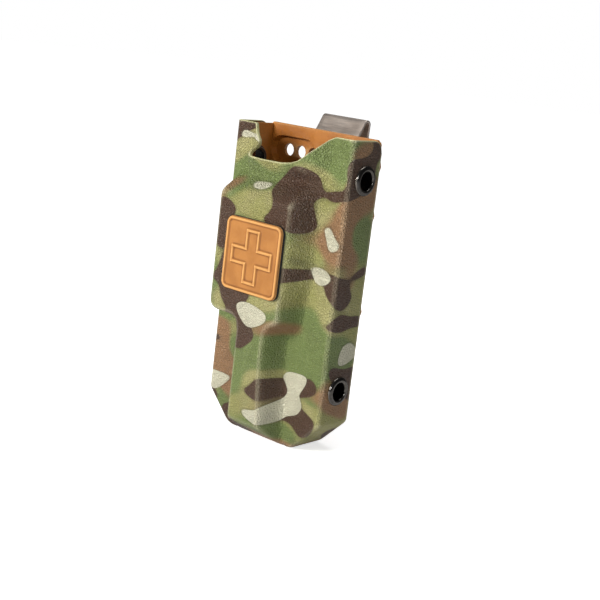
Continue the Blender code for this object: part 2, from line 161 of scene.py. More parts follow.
# ------------------------------------------------------------------ materials
def camouflage():
    g = Graph("camouflage_thermoplastic")
    sheet = g.node("ShaderNodeAttribute", attribute_name="sheet").outputs["Vector"]
    olive, khaki = srgb(163, 163, 104), srgb(178, 174, 124)
    flat = g.vec("MULTIPLY", sheet, (0.72, 1.0, 0.0))

    def field(shift, scale, detail=1.0):
        return g.noise(g.vec("ADD", flat, (shift, 2.0 * shift, 0.0)), scale, detail, 0.45)

    def soft(colour, tint, shift, scale, level):
        return g.mix(g.span(field(shift, scale), level - 0.035, level + 0.035), colour, tint)

    # a plain four-colour woodland print: every patch is where seeded noise puts it
    def firm(colour, tint, shift, scale, level):
        n = field(shift, scale)
        colour = g.mix(g.span(n, level - 0.022, level - 0.006, 0.0, 0.3), colour, srgb(70, 62, 42))
        return g.mix(g.span(n, level - 0.005, level + 0.005), colour, tint)

    colour = g.mix(g.span(g.noise(sheet, 0.035, 2.0), 0.4, 0.62), olive, khaki)
    colour = soft(colour, srgb(122, 141, 84), 100.0, 0.030, 0.52)
    colour = soft(colour, srgb(160, 122, 90), 200.0, 0.032, 0.57)
    colour = firm(colour, srgb(80, 53, 39), 300.0, 0.040, 0.57)
    colour = firm(colour, srgb(220, 219, 205), 400.0, 0.042, 0.62)

    mm = g.object_mm()
    grain = leather_grain(g, mm)
    # painted shade darkens the grain's valleys and a painted highlight pales its tops; slow unevenness from the forming
    colour = g.mix(g.span(grain, 0.30, 0.85, 0.0, 0.20), g.mix(0.34, colour, g.mix(1.0, colour, srgb(150, 146, 128), "MULTIPLY")), g.mix(0.10, colour, srgb(235, 226, 196)))
    colour = g.mix(g.span(g.noise(mm, 0.07, 3.0), 0.35, 0.75, 0.0, 0.16), colour, srgb(70, 62, 46))
    # convex edges lightened: a painted highlight together with edge wear
    colour = g.mix(g.math("MULTIPLY", g.edges(0.508, 0.545), 0.30), colour, srgb(226, 220, 196))
    colour = g.mix(1.0, colour, (1.0, 0.975, 0.87, 1), "MULTIPLY")
    g.put(g.bsdf.inputs["Base Color"], colour)
    rough = g.span(g.noise(mm, 0.5, 3.0), 0.3, 0.7, 0.40, 0.56)
    g.put(g.bsdf.inputs["Roughness"], rough)
    g.bsdf.inputs["Specular IOR Level"].default_value = 0.5
    fine = g.bump(g.noise(mm, 6.0, 2.0), 0.00002, 0.5)
    g.put(g.bsdf.inputs["Normal"], g.bump(grain, 0.0010, 1.0, fine))
    return g.mat


def sheet_plastic(name, light, dark, rough=(0.34, 0.5), grain_depth=0.00007, edge_wear_and_highlight=(0.35, (236, 190, 130))):
    g = Graph(name)
    mm = g.object_mm()
    grain = leather_grain(g, mm, 1.0, 0.5)
    colour = g.mix(g.span(g.noise(mm, 0.045, 3.0, 0.55), 0.35, 0.68), srgb(*light), srgb(*dark))
    # painted shade: the grain's valleys darkened
    colour = g.mix(g.span(grain, 0.3, 0.85, 0.12, 0.0), colour, srgb(40, 22, 8))
    # convex edges lightened: edge wear together with a painted highlight
    colour = g.mix(g.math("MULTIPLY", g.edges(), edge_wear_and_highlight[0]), colour, srgb(*edge_wear_and_highlight[1]))
    g.put(g.bsdf.inputs["Base Color"], colour)
    g.put(g.bsdf.inputs["Roughness"], g.span(g.noise(mm, 0.35, 4.0), 0.3, 0.7, *rough))
    g.put(g.bsdf.inputs["Normal"], g.bump(grain, grain_depth, 0.8))
    return g.mat


def rubber_badge():
    g = Graph("coyote_rubber")
    mm = g.object_mm()
    colour = g.mix(g.span(g.noise(mm, 0.12, 3.0), 0.35, 0.7), srgb(164, 109, 50), srgb(150, 97, 41))
    colour = g.mix(g.span(g.noise(mm, 1.6, 4.0, 0.65), 0.35, 0.75, 0.0, 0.22), colour, srgb(158, 100, 46))
    # convex edges lightened: a painted highlight
    colour = g.mix(g.math("MULTIPLY", g.edges(0.51, 0.58), 0.45), colour, srgb(242, 190, 122))
    # painted shade darkens where the relief dips below the field around it, and a painted highlight lightens its raised
    # ridges
    relief = g.node("ShaderNodeAttribute", attribute_name="relief").outputs["Fac"]
    colour = g.mix(g.span(relief, -0.03, -0.26, 0.0, 0.75), colour, srgb(98, 54, 18))
    colour = g.mix(g.span(relief, 0.08, 0.34, 0.0, 0.45), colour, srgb(240, 184, 112))
    g.put(g.bsdf.inputs["Base Color"], colour)
    g.put(g.bsdf.inputs["Roughness"], g.span(g.noise(mm, 0.8, 3.0), 0.3, 0.7, 0.50, 0.66))
    g.bsdf.inputs["Specular IOR Level"].default_value = 0.35
    g.put(g.bsdf.inputs["Normal"], g.bump(g.noise(mm, 3.2, 3.0, 0.6), 0.00004, 0.6))
    return g.mat


def plated(name, base, rough):
    g = Graph(name)
    mm = g.object_mm()
    stain = g.noise(mm, 0.7, 4.0, 0.6)
    # convex edges lightened towards silver: a painted highlight
    g.put(g.bsdf.inputs["Base Color"], g.mix(g.math("MULTIPLY", g.edges(0.51, 0.58), 0.6), g.mix(g.span(stain, 0.35, 0.7), srgb(*base), srgb(*[c * 0.6 for c in base])), srgb(190, 182, 170)))
    g.bsdf.inputs["Metallic"].default_value = 1.0
    g.put(g.bsdf.inputs["Roughness"], g.span(stain, 0.3, 0.7, rough, rough + 0.14))
    g.put(g.bsdf.inputs["Normal"], g.bump(g.noise(mm, 2.0, 4.0), 0.00002, 0.5))
    return g.mat


def brushed_steel():
    g = Graph("brushed_spring_steel")
    mm = g.object_mm()
    lines = g.noise(g.vec("MULTIPLY", mm, (0.10, 3.2, 3.2)), 1.0, 4.0, 0.7)
    cloud = g.noise(mm, 0.06, 3.0)
    colour = g.mix(g.span(lines, 0.3, 0.7), srgb(236, 224, 214), srgb(214, 200, 188))
    colour = g.mix(g.span(cloud, 0.4, 0.7, 0.0, 0.35), colour, srgb(146, 122, 106))
    colour = g.mix(g.math("MULTIPLY", g.edges(0.51, 0.60), 0.5), colour, srgb(236, 230, 224))
    g.put(g.bsdf.inputs["Base Color"], colour)
    g.bsdf.inputs["Metallic"].default_value = 1.0
    g.put(g.bsdf.inputs["Roughness"], g.span(lines, 0.3, 0.7, 0.34, 0.50))
    g.put(g.bsdf.inputs["Normal"], g.bump(lines, 0.00002, 0.5))
    return g.mat


def plain_rubber(name, light, dark, size):
    g = Graph(name)
    mm = g.object_mm()
    n = g.noise(mm, size, 4.0, 0.65)
    g.put(g.bsdf.inputs["Base Color"], g.mix(g.span(n, 0.3, 0.7), srgb(*light), srgb(*dark)))
    g.put(g.bsdf.inputs["Roughness"], g.span(n, 0.3, 0.7, 0.7, 0.92))
    g.put(g.bsdf.inputs["Normal"], g.bump(n, 0.0001, 0.7))
    return g.mat


CAMO = camouflage()
TAN = sheet_plastic("coyote_thermoplastic", (172, 106, 34), (150, 88, 26))
# a darker copy of the coyote tan for the shell's inner face: painted shade
INSIDE_SHADED = sheet_plastic("shell_inner_face_shaded", (92, 54, 22), (66, 38, 14))
CUT = sheet_plastic("shell_cut_edge", (188, 186, 136), (150, 150, 96), (0.4, 0.55), 0.00004, (0.5, (240, 236, 214)))
BADGE_MAT = rubber_badge()
NICKEL = plated("black_nickel", (70, 68, 68), 0.14)
OXIDE = plated("black_oxide_steel", (58, 56, 56), 0.30)
# a darker copy of the black nickel for the eyelets' inner halves and the washers: painted shade
NICKEL_SHADED = plated("black_nickel_inside_shaded", (26, 24, 23), 0.5)
STEEL = brushed_steel()
RUBBER = plain_rubber("black_rubber", (30, 30, 30), (18, 18, 18), 1.2)
# near-black foam, also standing in for the shadow line around the badge edge
FOAM_AND_SHADOW = plain_rubber("adhesive_foam", (34, 32, 30), (14, 13, 12), 2.2)


# ------------------------------------------------------------------ mesh helpers
def place(p):
    p = np.asarray(p, float)
    return (p - np.array([0.0, OY, 0.0])) * MM


def mesh_object(name, verts, faces, mats, index=None, angle=40):
    me = bpy.data.meshes.new(name)
    me.from_pydata([tuple(v) for v in place(verts)], [], [tuple(f) for f in faces])
    for m in mats:
        me.materials.append(m)
    if index is not None:
        me.polygons.foreach_set("material_index", np.asarray(index, np.int32))
    me.validate()
    bm = bmesh.new()
    bm.from_mesh(me)
    bmesh.ops.remove_doubles(bm, verts=bm.verts, dist=2e-6)
    bmesh.ops.dissolve_degenerate(bm, edges=bm.edges, dist=1e-7)
    bmesh.ops.recalc_face_normals(bm, faces=bm.faces)
    bm.to_mesh(me)
    bm.free()
    me.shade_smooth()
    me.set_sharp_from_angle(angle=math.radians(angle))
    obj = bpy.data.objects.new(name, me)
    bpy.context.scene.collection.objects.link(obj)
    return obj


def lathe(name, profile, centre, axis, mats, n=64, angle=40):
    """Turn a closed (radius, distance) profile about an axis through centre."""
    verts, faces = [], []
    m = len(profile)
    for k in range(n):
        t = 2 * math.pi * (k + 0.5) / n
        for r, d in profile:
            c, s = r * math.cos(t), r * math.sin(t)
            verts.append((centre[0] + d, centre[1] + c, centre[2] + s) if axis == "x" else (centre[0] + c, centre[1] + d, centre[2] + s))
    for k in range(n):
        a, b = k * m, (k + 1) % n * m
        for i in range(m):
            j = (i + 1) % m
            faces.append((a + i, a + j, b + j, b + i))
    return mesh_object(name, verts, faces, mats, angle=angle)


def rounded(profile, radius, steps=4):
    """Round the corners of a closed 2-D profile."""
    out = []
    n = len(profile)
    for i in range(n):
        p0, p1, p2 = (np.array(profile[j % n], float) for j in (i - 1, i, i + 1))
        a, b = p0 - p1, p2 - p1
        r = min(radius, 0.45 * np.linalg.norm(a), 0.45 * np.linalg.norm(b))
        a, b = p1 + a / np.linalg.norm(a) * r, p1 + b / np.linalg.norm(b) * r
        for k in range(steps + 1):
            t = k / steps
            out.append(tuple((1 - t) ** 2 * a + 2 * t * (1 - t) * p1 + t * t * b))
    return out


def cut(obj, other):
    """Subtract other from obj, for good."""
    mod = obj.modifiers.new("cut", "BOOLEAN")
    mod.operation, mod.solver, mod.object = "DIFFERENCE", "EXACT", other
    dg = bpy.context.evaluated_depsgraph_get()
    me = bpy.data.meshes.new_from_object(obj.evaluated_get(dg))
    obj.modifiers.clear()
    obj.data = me
    bpy.data.objects.remove(other)
    return obj


def gauss(a, sigma):
    """Gaussian blur of a 2-D array, sigma in cells, edges repeated."""
    r = int(3 * sigma + 1)
    k = np.exp(-0.5 * (np.arange(-r, r + 1) / sigma) ** 2)
    k /= k.sum()
    for ax in (0, 1):
        pad = [(0, 0), (0, 0)]
        pad[ax] = (r, r)
        b = np.pad(a, pad, mode="edge")
        a = sum(w * np.take(b, np.arange(i, i + a.shape[ax]), axis=ax) for i, w in enumerate(k))
    return a


class Field:
    """A smooth height over (x, z), sampled from a fine grid."""

    def __init__(self, fn, x0, x1, z0, z1, step=0.5, sigma=1.0):
        self.x0, self.z0, self.step = x0, z0, step
        x, z = np.arange(x0, x1 + step / 2, step), np.arange(z0, z1 + step / 2, step)
        gx, gz = np.meshgrid(x, z, indexing="ij")
        self.h = fn(gx, gz)
        if sigma:
            self.h = gauss(self.h, sigma / step)

    def offset(self, distance):
        """The parallel surface behind this one, as the envelope of balls: never folds over."""
        out = Field.__new__(Field)
        out.x0, out.z0, out.step = self.x0, self.z0, self.step
        r = int(distance / self.step)
        pad = np.pad(self.h, r, mode="edge")
        best = np.full_like(self.h, -1e9)
        n, m = self.h.shape
        for i in range(-r, r + 1):
            for j in range(-r, r + 1):
                d2 = distance ** 2 - (i * i + j * j) * self.step ** 2
                if d2 >= 0:
                    best = np.maximum(best, pad[r + i:r + i + n, r + j:r + j + m] + math.sqrt(d2))
        out.h = gauss(best, 0.8)
        return out

    def __call__(self, x, z):
        fx = np.clip((np.asarray(x, float) - self.x0) / self.step, 0, self.h.shape[0] - 1.001)
        fz = np.clip((np.asarray(z, float) - self.z0) / self.step, 0, self.h.shape[1] - 1.001)
        i, j = fx.astype(int), fz.astype(int)
        a, b = fx - i, fz - j
        h = self.h
        return (h[i, j] * (1 - a) + h[i + 1, j] * a) * (1 - b) + (h[i, j + 1] * (1 - a) + h[i + 1, j + 1] * a) * b


# ------------------------------------------------------------------ front shell
def ramp(t):
    t = np.clip(t, 0.0, 1.0)
    return t * t * (3 - 2 * t)


def smooth_min(a, b, k):
    h = np.clip(0.5 + 0.5 * (b - a) / k, 0, 1)
    return b * (1 - h) + a * h - k * h * (1 - h)


def stem_edge(z):
    return 8.6 + 3.4 * ramp((50.0 - z) / 45.0)


def bulge(x, z):
    """How far the outer face stands in front of the flange plane."""
    upper = np.maximum(np.maximum(-31.2 - x, x - 17.2), 66.5 - z)
    corner = np.hypot(np.maximum(-27.2 - x, 0), np.maximum(70.5 - z, 0)) - 4.0
    upper = np.where((x < -27.2) & (z < 70.5), corner, upper)
    corner = np.hypot(np.maximum(x - 12.2, 0), np.maximum(71.5 - z, 0)) - 5.0
    upper = np.where((x > 12.2) & (z < 71.5), corner, upper)
    lower = np.maximum(-9.8 - x, x - stem_edge(z))
    out = smooth_min(upper, lower, 7.0)
    wide = 6.4 - 1.4 * ramp((x + 5.0) / 20.0)
    wide = wide + 3.6 * ramp((x - 8.0) / 6.0) * ramp((z - 78.0) / 10.0)
    body = BULGE * ramp(1.0 - (out + 0.5) / wide)
    lip = 5.2 + 3.4 * ramp((z - 139.0) / 10.0)
    neck = lip * ramp((x + 27.0) / 5.5) * ramp((29.0 - x) / 17.0) * ramp((z - 100.0) / 12.0)
    neck = neck * (1 - 0.62 * ramp((z - 149.0) / 6.0) * ramp((-14.0 - x) / 6.0))
    top = ramp((140.0 - z) / 12.5)
    out = neck + (np.maximum(body, neck) - neck) * top
    # the neck pinches in beside the lip, with a swelling above and below the hollow
    out = out - 3.8 * np.exp(-((x - 12.5) / 6.0) ** 2 - ((z - 141.0) / 3.4) ** 2) * (z > 100)
    out = out + 1.1 * np.exp(-((x - 21.5) / 2.6) ** 2 - ((z - 150.5) / 3.2) ** 2) + 0.9 * np.exp(-((x - 21.5) / 3.2) ** 2 - ((z - 136.5) / 3.0) ** 2)
    return smooth_min(out, 1.6 * np.maximum(z - 1.0, 0.0), 2.0)


RIM_X = np.arange(-45, 45.01, 0.1)
RIM_Z = np.interp(RIM_X, [-45, -25.6, -24.4, -22.6, -20.6, -12.0, 1.0, 8.0, 12.4, 15.1, 20.7, 25.0, 28.2, 45],
                  [165, 165.0, 160.0, 151.0, 148.3, 148.0, 148.2, 149.2, 150.8, 153.1, 158.9, 163.2, 165.0, 165])
RIM_Z = gauss(RIM_Z[:, None], 5.0)[:, 0]


def rim(x):
    return np.interp(x, RIM_X, RIM_Z)


def half_width(z):
    return smooth_min(np.full_like(np.asarray(z, float), WIDTH / 2), WIDTH / 2 - 17.0 + np.maximum(z, 0.0), 1.6)


front_field = Field(lambda x, z: -bulge(x, z), -44, 44, -4, 170, 0.5, 0.8)
inner_field = front_field.offset(WALL)

FRONT_X = np.concatenate([np.arange(-37.4, -27.5, 1.0), np.arange(-27.4, -18.9, 0.4), np.arange(-18.6, 7.0, 0.85), np.arange(7.4, 30.0, 0.7), np.arange(30.4, 37.41, 1.0)])
FRONT_X = np.unique(np.round(np.append(FRONT_X, [37.4]), 3))
SIDE_Y = np.concatenate([np.linspace(REAR, CORNER, 20)[:-1]])
ARC = np.linspace(0, math.pi / 2, 7)


def section(z, shrink, inset):
    """One row, from the left rear edge round the front to the right rear edge: arrays x, y, and whether the column is on the front."""
    w = float(half_width(np.array([z]))[0]) - shrink - inset * (1.0 if z > 17 else 1.3)
    r = CORNER - inset if inset < 2 else 0.6
    lo = inset + shrink
    side_y = REAR + (SIDE_Y - REAR) * (REAR - (lo + r)) / (REAR - CORNER)
    left_x = np.full(len(side_y), -w)
    arc_x = -w + r - r * np.cos(ARC)
    arc_y = lo + r - r * np.sin(ARC)
    squeeze = (w - r - 14.0) / (37.4 - 14.0)
    fx = np.where(np.abs(FRONT_X) <= 14.0, FRONT_X, np.sign(FRONT_X) * (14.0 + (np.abs(FRONT_X) - 14.0) * squeeze))
    x = np.concatenate([left_x, arc_x, fx[1:-1], -arc_x[::-1], -left_x[::-1]])
    y = np.concatenate([side_y, arc_y, np.full(len(fx) - 2, np.nan), arc_y[::-1], side_y[::-1]])
    return x, y


def ear_lean(x, z):
    """The cut edge of the left ear swells to the right at half its height."""
    return 4.6 * np.exp(-((z - 155.5) / 4.6) ** 2) * ramp((x + 37.0) / 13.0) * (x < 0)


def shell_rows(inner):
    inset = WALL if inner else 0.0
    field = inner_field if inner else front_field
    zs, shr = [], []
    r = 1.2 if inner else FILLET
    for k in range(6):
        t = (k + 0.5) / 6 * math.pi / 2
        zs.append(r * (1 - math.cos(t)))
        shr.append(r * (1 - math.sin(t)))
    zs += list(np.arange(3.4, 124.9, 1.0))
    shr += [0.0] * (len(zs) - len(shr))
    rows = []
    for z, s in zip(zs, shr):
        if inner:
            z = WALL + z if s or z < r else z + max(0.0, WALL * (1 - (z - 3.0) / 12.0))
        x, y = section(z, s, inset)
        front = np.isnan(y)
        surface = field(x, np.full(len(x), z))
        flat = inset + s
        # the bulge's foot keeps its slope; the rounded lower edge only draws in the flat part
        y = np.where(front, np.minimum(surface + s * ramp((surface + 3.0) / 3.0 if not inner else np.ones(len(x))), max(flat, 0.0) + 9), y)
        rows.append(np.stack([x, y, np.full(len(x), z)], 1))
    x, y0 = section(125.0, 0.0, inset)
    ends = rim(np.where(np.isnan(y0), x, x))
    yy = np.nan_to_num(y0, nan=0.0)
    drop = np.where(yy > REAR - 6.0, 6.0 - np.sqrt(np.maximum(36.0 - (yy - (REAR - 6.0)) ** 2, 0.0)), 0.0)
    ends = ends - drop
    for k in range(0, 43):
        t = k / 42
        z = 125.0 + (ends - 0.35 - 125.0) * t
        xl = x + ear_lean(x, z)
        y = np.where(np.isnan(y0), field(xl, z), y0)
        rows.append(np.stack([xl, y, z], 1))
    return np.array(rows), ends


def front_shell():
    outer, ends = shell_rows(False)
    inner, _ = shell_rows(True)
    n, m = outer.shape[:2]
    # floor: flat rows from the lowest row back to the rear line
    def floor(rows, z):
        first = rows[0]
        last_x = np.linspace(first[0, 0], first[-1, 0], m)
        out = []
        for t in (1.0, 0.8, 0.6, 0.4, 0.2):
            x = first[:, 0] * (1 - t) + last_x * t
            y = first[:, 1] * (1 - t) + REAR * t
            out.append(np.stack([x, y, np.full(m, z)], 1))
        edge = np.stack([first[:, 0], first[:, 1], np.full(m, z)], 1)
        edge[:, 1] = np.minimum(edge[:, 1] + 0.35, REAR)
        edge[:, 0] *= (abs(first[0, 0]) - 0.35) / abs(first[0, 0])
        out.append(edge)
        return np.concatenate([np.array(out), rows])

    outer, inner = floor(outer, 0.0), floor(inner, WALL)
    # rounded cut edge along the top, leaning the way the edge faces
    x = outer[-1][:, 0]
    slope = np.gradient(rim(x)) / np.where(np.abs(np.gradient(x)) < 1e-6, 1e9, np.gradient(x))
    slope = np.clip(slope, -4, 4)
    nx, nz = -slope / np.hypot(slope, 1), 1 / np.hypot(slope, 1)
    caps = []
    for t, up in ((0.05, 0.2), (0.18, 0.32), (0.5, 0.37), (0.82, 0.32), (0.95, 0.2)):
        q = outer[-1] * (1 - t) + inner[-1] * t
        q[:, 0] += nx * up
        q[:, 2] += nz * up
        caps.append(q)
    rings = np.concatenate([outer, np.array(caps), inner[::-1]])
    total = len(rings)
    verts = rings.reshape(-1, 3)
    faces, index = [], []
    o = len(outer)
    for r in range(total - 1):
        kind = 0 if r < o - 1 else (1 if r < o + len(caps) else 2)
        for i in range(m - 1):
            a = r * m + i
            faces.append((a, a + 1, a + m + 1, a + m))
            index.append(kind)
    # the open rear: outer boundary to inner boundary, both sides and underneath
    def left(r):
        return r * m

    def right(r):
        return r * m + m - 1

    for r in range(o - 1):
        p, q = r, total - 1 - r
        for side in (left, right):
            faces.append((side(p), side(p + 1), side(q - 1), side(q)))
            index.append(1)
    # sides of the cap
    for side in (left, right):
        strip = [side(r) for r in range(o - 1, total - (o - 1))]
        for k in range(len(strip) // 2 - 1):
            faces.append((strip[k], strip[k + 1], strip[-2 - k], strip[-1 - k]))
            index.append(1)
        if len(strip) % 2:
            k = len(strip) // 2
            faces.append((strip[k - 1], strip[k], strip[k + 1]))
            index.append(1)
    last = (total - 1) * m
    for i in range(m - 1):
        faces.append((i, last + i, last + i + 1, i + 1))
        index.append(1)
    shell = mesh_object("formed_front_shell", verts, faces, [CAMO, CUT, INSIDE_SHADED], index, angle=50)
    for side in (-1, 1):
        for z in EYELET_Z:
            c = lathe("cutter", [(0.001, -6.0), (5.5, -6.0), (5.5, 6.0), (0.001, 6.0)], (side * 39.0, EYELET_Y, z), "x", [CUT], 48)
            cut(shell, c)
    # where each point lies on the printed sheet before it was formed
    me = shell.data
    co = np.zeros(len(me.vertices) * 3)
    me.vertices.foreach_get("co", co)
    co = co.reshape(-1, 3) / MM + np.array([0, OY, 0])
    w = half_width(co[:, 2])
    side = ramp((np.abs(co[:, 0]) - (w - 3.2)) / 3.0)
    u = co[:, 0] + np.sign(co[:, 0]) * np.maximum(co[:, 1], 0) * side
    v = co[:, 2] - np.maximum(co[:, 1], 0) * ramp((1.5 - co[:, 2]) / 1.5)
    at = me.attributes.new("sheet", "FLOAT_VECTOR", "POINT")
    at.data.foreach_set("vector", np.stack([u, v, np.zeros(len(u))], 1).astype(np.float32).ravel())
    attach(shell, "case")
    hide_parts("front_shell")
    return shell


front_shell()


# ------------------------------------------------------------------ badge
def box_distance(x, z, hx, hz, r=0.0):
    dx, dz = np.abs(x) - (hx - r), np.abs(z) - (hz - r)
    return np.hypot(np.maximum(dx, 0), np.maximum(dz, 0)) + np.minimum(np.maximum(dx, dz), 0) - r


def badge():
    half, cx, cz = 19.05, -2.6, 98.9
    back = -BULGE - 0.3 - 0.7 - 0.3
    step = 0.24
    n = int(round(2 * half / step))
    s = np.linspace(-1, 1, n + 1)
    gx, gz = np.meshgrid(s, s, indexing="ij")
    # pull the square grid's corners onto a rounded outline
    x, z = gx * half, gz * half
    r = 4.0
    over = box_distance(x, z, half, half, r)
    ccx, ccz = np.sign(x) * (half - r), np.sign(z) * (half - r)
    vx, vz = x - ccx, z - ccz
    inside = (np.abs(x) > half - r) & (np.abs(z) > half - r)
    cheb = np.maximum(np.abs(vx), np.abs(vz))
    eucl = np.hypot(vx, vz) + 1e-9
    x = np.where(inside, ccx + vx * cheb / eucl, x)
    z = np.where(inside, ccz + vz * cheb / eucl, z)
    edge = -box_distance(x, z, half, half, r)                    # distance in from the outline
    height = 0.95 + 0.75 * ramp((1.9 - edge) / 0.5)             # raised border
    a, b, band = 14.2, 4.7, 1.5
    outer = np.minimum(box_distance(x, z, a, b, 0.4), box_distance(x, z, b, a, 0.4))
    inner = np.minimum(box_distance(x, z, a - band, b - band, 0.2), box_distance(x, z, b - band, a - band, 0.2))
    ridge = ramp((0.25 - outer) / 0.5) * ramp((inner + 0.25) / 0.5)
    height = height + 0.75 * ridge
    height = height * 1.0 - 0.75 * ramp((0.55 - edge) / 0.55) ** 1.6   # soft outer edge
    height = gauss(height, 0.6)
    relief = height - gauss(height, 3.2)
    m = n + 1
    front = np.stack([cx + x, back - height, cz + z], -1).reshape(-1, 3)
    rear = np.stack([cx + x, np.full_like(x, back), cz + z], -1).reshape(-1, 3)
    faces = []
    for i in range(n):
        for j in range(n):
            k = i * m + j
            faces.append((k, k + m, k + m + 1, k + 1))
    ring = [(i, 0) for i in range(n)] + [(n, j) for j in range(n)] + [(i, n) for i in range(n, 0, -1)] + [(0, j) for j in range(n, 0, -1)]
    ring = [i * m + j for i, j in ring]
    ne = len(front)
    back_ring = {k: ne + i for i, k in enumerate(ring)}
    verts = np.concatenate([front, rear[ring]])
    for a0, b0 in zip(ring, ring[1:] + ring[:1]):
        faces.append((a0, b0, back_ring[b0], back_ring[a0]))
    faces.append(tuple(back_ring[k] for k in ring))
    obj = mesh_object("moulded_cross_badge", verts, faces, [BADGE_MAT], angle=60)
    key = {}
    for q, value in zip(place(front), relief.ravel()):
        key[tuple(np.round(q, 6))] = value
    at = obj.data.attributes.new("relief", "FLOAT", "POINT")
    at.data.foreach_set("value", np.array([key.get(tuple(np.round(np.array(v.co), 6)), 0.0) for v in obj.data.vertices], np.float32))
    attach(obj, "case")
    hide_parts("cross_badge")


badge()


def backing():
    """The dark backing fills the space between the flat badge and the curving shell; it reaches 0.22 mm past the badge,
    so its near-black rim is partly foam and partly a painted shadow line.
    """
    half, cx, cz = 19.05 + 0.22, -2.6, 98.9
    n = 60
    s = np.linspace(-1, 1, n + 1)
    gx, gz = np.meshgrid(s, s, indexing="ij")
    x, z = gx * half, gz * half
    r = 4.4
    ccx, ccz = np.sign(x) * (half - r), np.sign(z) * (half - r)
    vx, vz = x - ccx, z - ccz
    inside = (np.abs(x) > half - r) & (np.abs(z) > half - r)
    scale = np.maximum(np.abs(vx), np.abs(vz)) / (np.hypot(vx, vz) + 1e-9)
    x, z = np.where(inside, ccx + vx * scale, x) + cx, np.where(inside, ccz + vz * scale, z) + cz
    front = np.stack([x, np.full_like(x, -BULGE - 1.27), z], -1).reshape(-1, 3)
    rear = np.stack([x, np.minimum(front_field(x, z) - 0.06, -BULGE + 3.0), z], -1).reshape(-1, 3)
    m = n + 1
    ne = len(front)
    faces = []
    for i in range(n):
        for j in range(n):
            k = i * m + j
            faces.append((k, k + m, k + m + 1, k + 1))
            faces.append((ne + k, ne + k + 1, ne + k + m + 1, ne + k + m))
    ring = [(i, 0) for i in range(n)] + [(n, j) for j in range(n)] + [(i, n) for i in range(n, 0, -1)] + [(0, j) for j in range(n, 0, -1)]
    ring = [i * m + j for i, j in ring]
    for a0, b0 in zip(ring, ring[1:] + ring[:1]):
        faces.append((a0, b0, ne + b0, ne + a0))
    obj = mesh_object("badge_backing_and_shadow_line", np.concatenate([front, rear]), faces, [FOAM_AND_SHADOW], angle=50)
    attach(obj, "case")
    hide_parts("badge_adhesive_pad")


backing()


# ------------------------------------------------------------------ eyelets
def eyelets():
    for side, side_name in ((1, "right"), (-1, "left")):
        for level, z in LEVELS:
            base = WIDTH / 2
            inner_face = -(WIDTH / 2 - PLATE_HALF + WALL)
            curl = inner_face - 0.3 - 0.8 - 0.3
            # rolled flange: high just outside the bore, falling to a tucked-in rim
            crown = [(4.7, 0.2), (4.72, 0.75), (4.95, 1.25), (5.35, 1.6), (5.85, 1.72), (6.4, 1.62), (6.95, 1.34), (7.4, 0.95), (7.66, 0.6), (7.7, 0.38), (7.6, 0.3), (6.4, 0.3), (5.2, 0.3)]
            tail = [(5.2, curl + 0.1), (5.5, curl), (6.3, curl), (6.62, curl - 0.25), (6.62, curl - 0.6), (6.3, curl - 0.92), (5.6, curl - 1.0), (5.0, curl - 0.95), (4.75, curl - 0.6), (4.7, curl + 0.2)]
            profile = [(r, side * d) for r, d in crown + tail]
            obj = lathe(f"rolled_eyelet_{side_name}_{level}", profile, (side * base, EYELET_Y, z), "x", [NICKEL], 72, 60)
            obj.data.materials.append(NICKEL_SHADED)
            # the inner half of each eyelet takes the darker nickel, which paints shade
            for face in obj.data.polygons:
                if abs(face.center.x) < (base - 1.6) * MM:
                    face.material_index = 1
            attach(obj, "case")
            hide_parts(f"eyelet_{side_name}_{level}")
            a, b = inner_face - 0.3, inner_face - 1.1
            ring = rounded([(5.5, side * a), (7.4, side * a), (7.4, side * b), (5.5, side * b)], 0.25, 3)
            obj = lathe(f"turned_washer_{side_name}_{level}", ring, (side * base, EYELET_Y, z), "x", [NICKEL_SHADED], 48, 50)
            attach(obj, "case")
            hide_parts(f"eyelet_washer_{side_name}_{level}")


eyelets()

# ------------------------------------------------------------------ belt clip
CLIP_T, CLIP_X0, CLIP_X1, BEND_R, BEND_Y, CLIP_TOP = 1.2, -11.9, 17.5, 2.1, 38.0, 172.9
LOOP_Z = CLIP_TOP - BEND_R - CLIP_T / 2
CLIP_FRONT = PLATE_REAR + PAD_RISE + 0.3


def smooth_path(points, step=0.9):
    """Catmull-Rom through the points, sampled evenly."""
    p = np.array(points, float)
    p = np.vstack([2 * p[0] - p[1], p, 2 * p[-1] - p[-2]])
    out = []
    for i in range(1, len(p) - 2):
        k = max(2, int(np.linalg.norm(p[i + 1] - p[i]) / step))
        for t in np.arange(k) / k:
            out.append(0.5 * (2 * p[i] + (p[i + 1] - p[i - 1]) * t + (2 * p[i - 1] - 5 * p[i] + 4 * p[i + 1] - p[i + 2]) * t * t + (3 * p[i] - p[i - 1] - 3 * p[i + 1] + p[i + 2]) * t ** 3))
    out.append(p[-2])
    return np.array(out)


def crown_point(degrees):
    t = math.radians(degrees)
    return (BEND_Y + BEND_R * math.cos(t), LOOP_Z + BEND_R * math.sin(t))


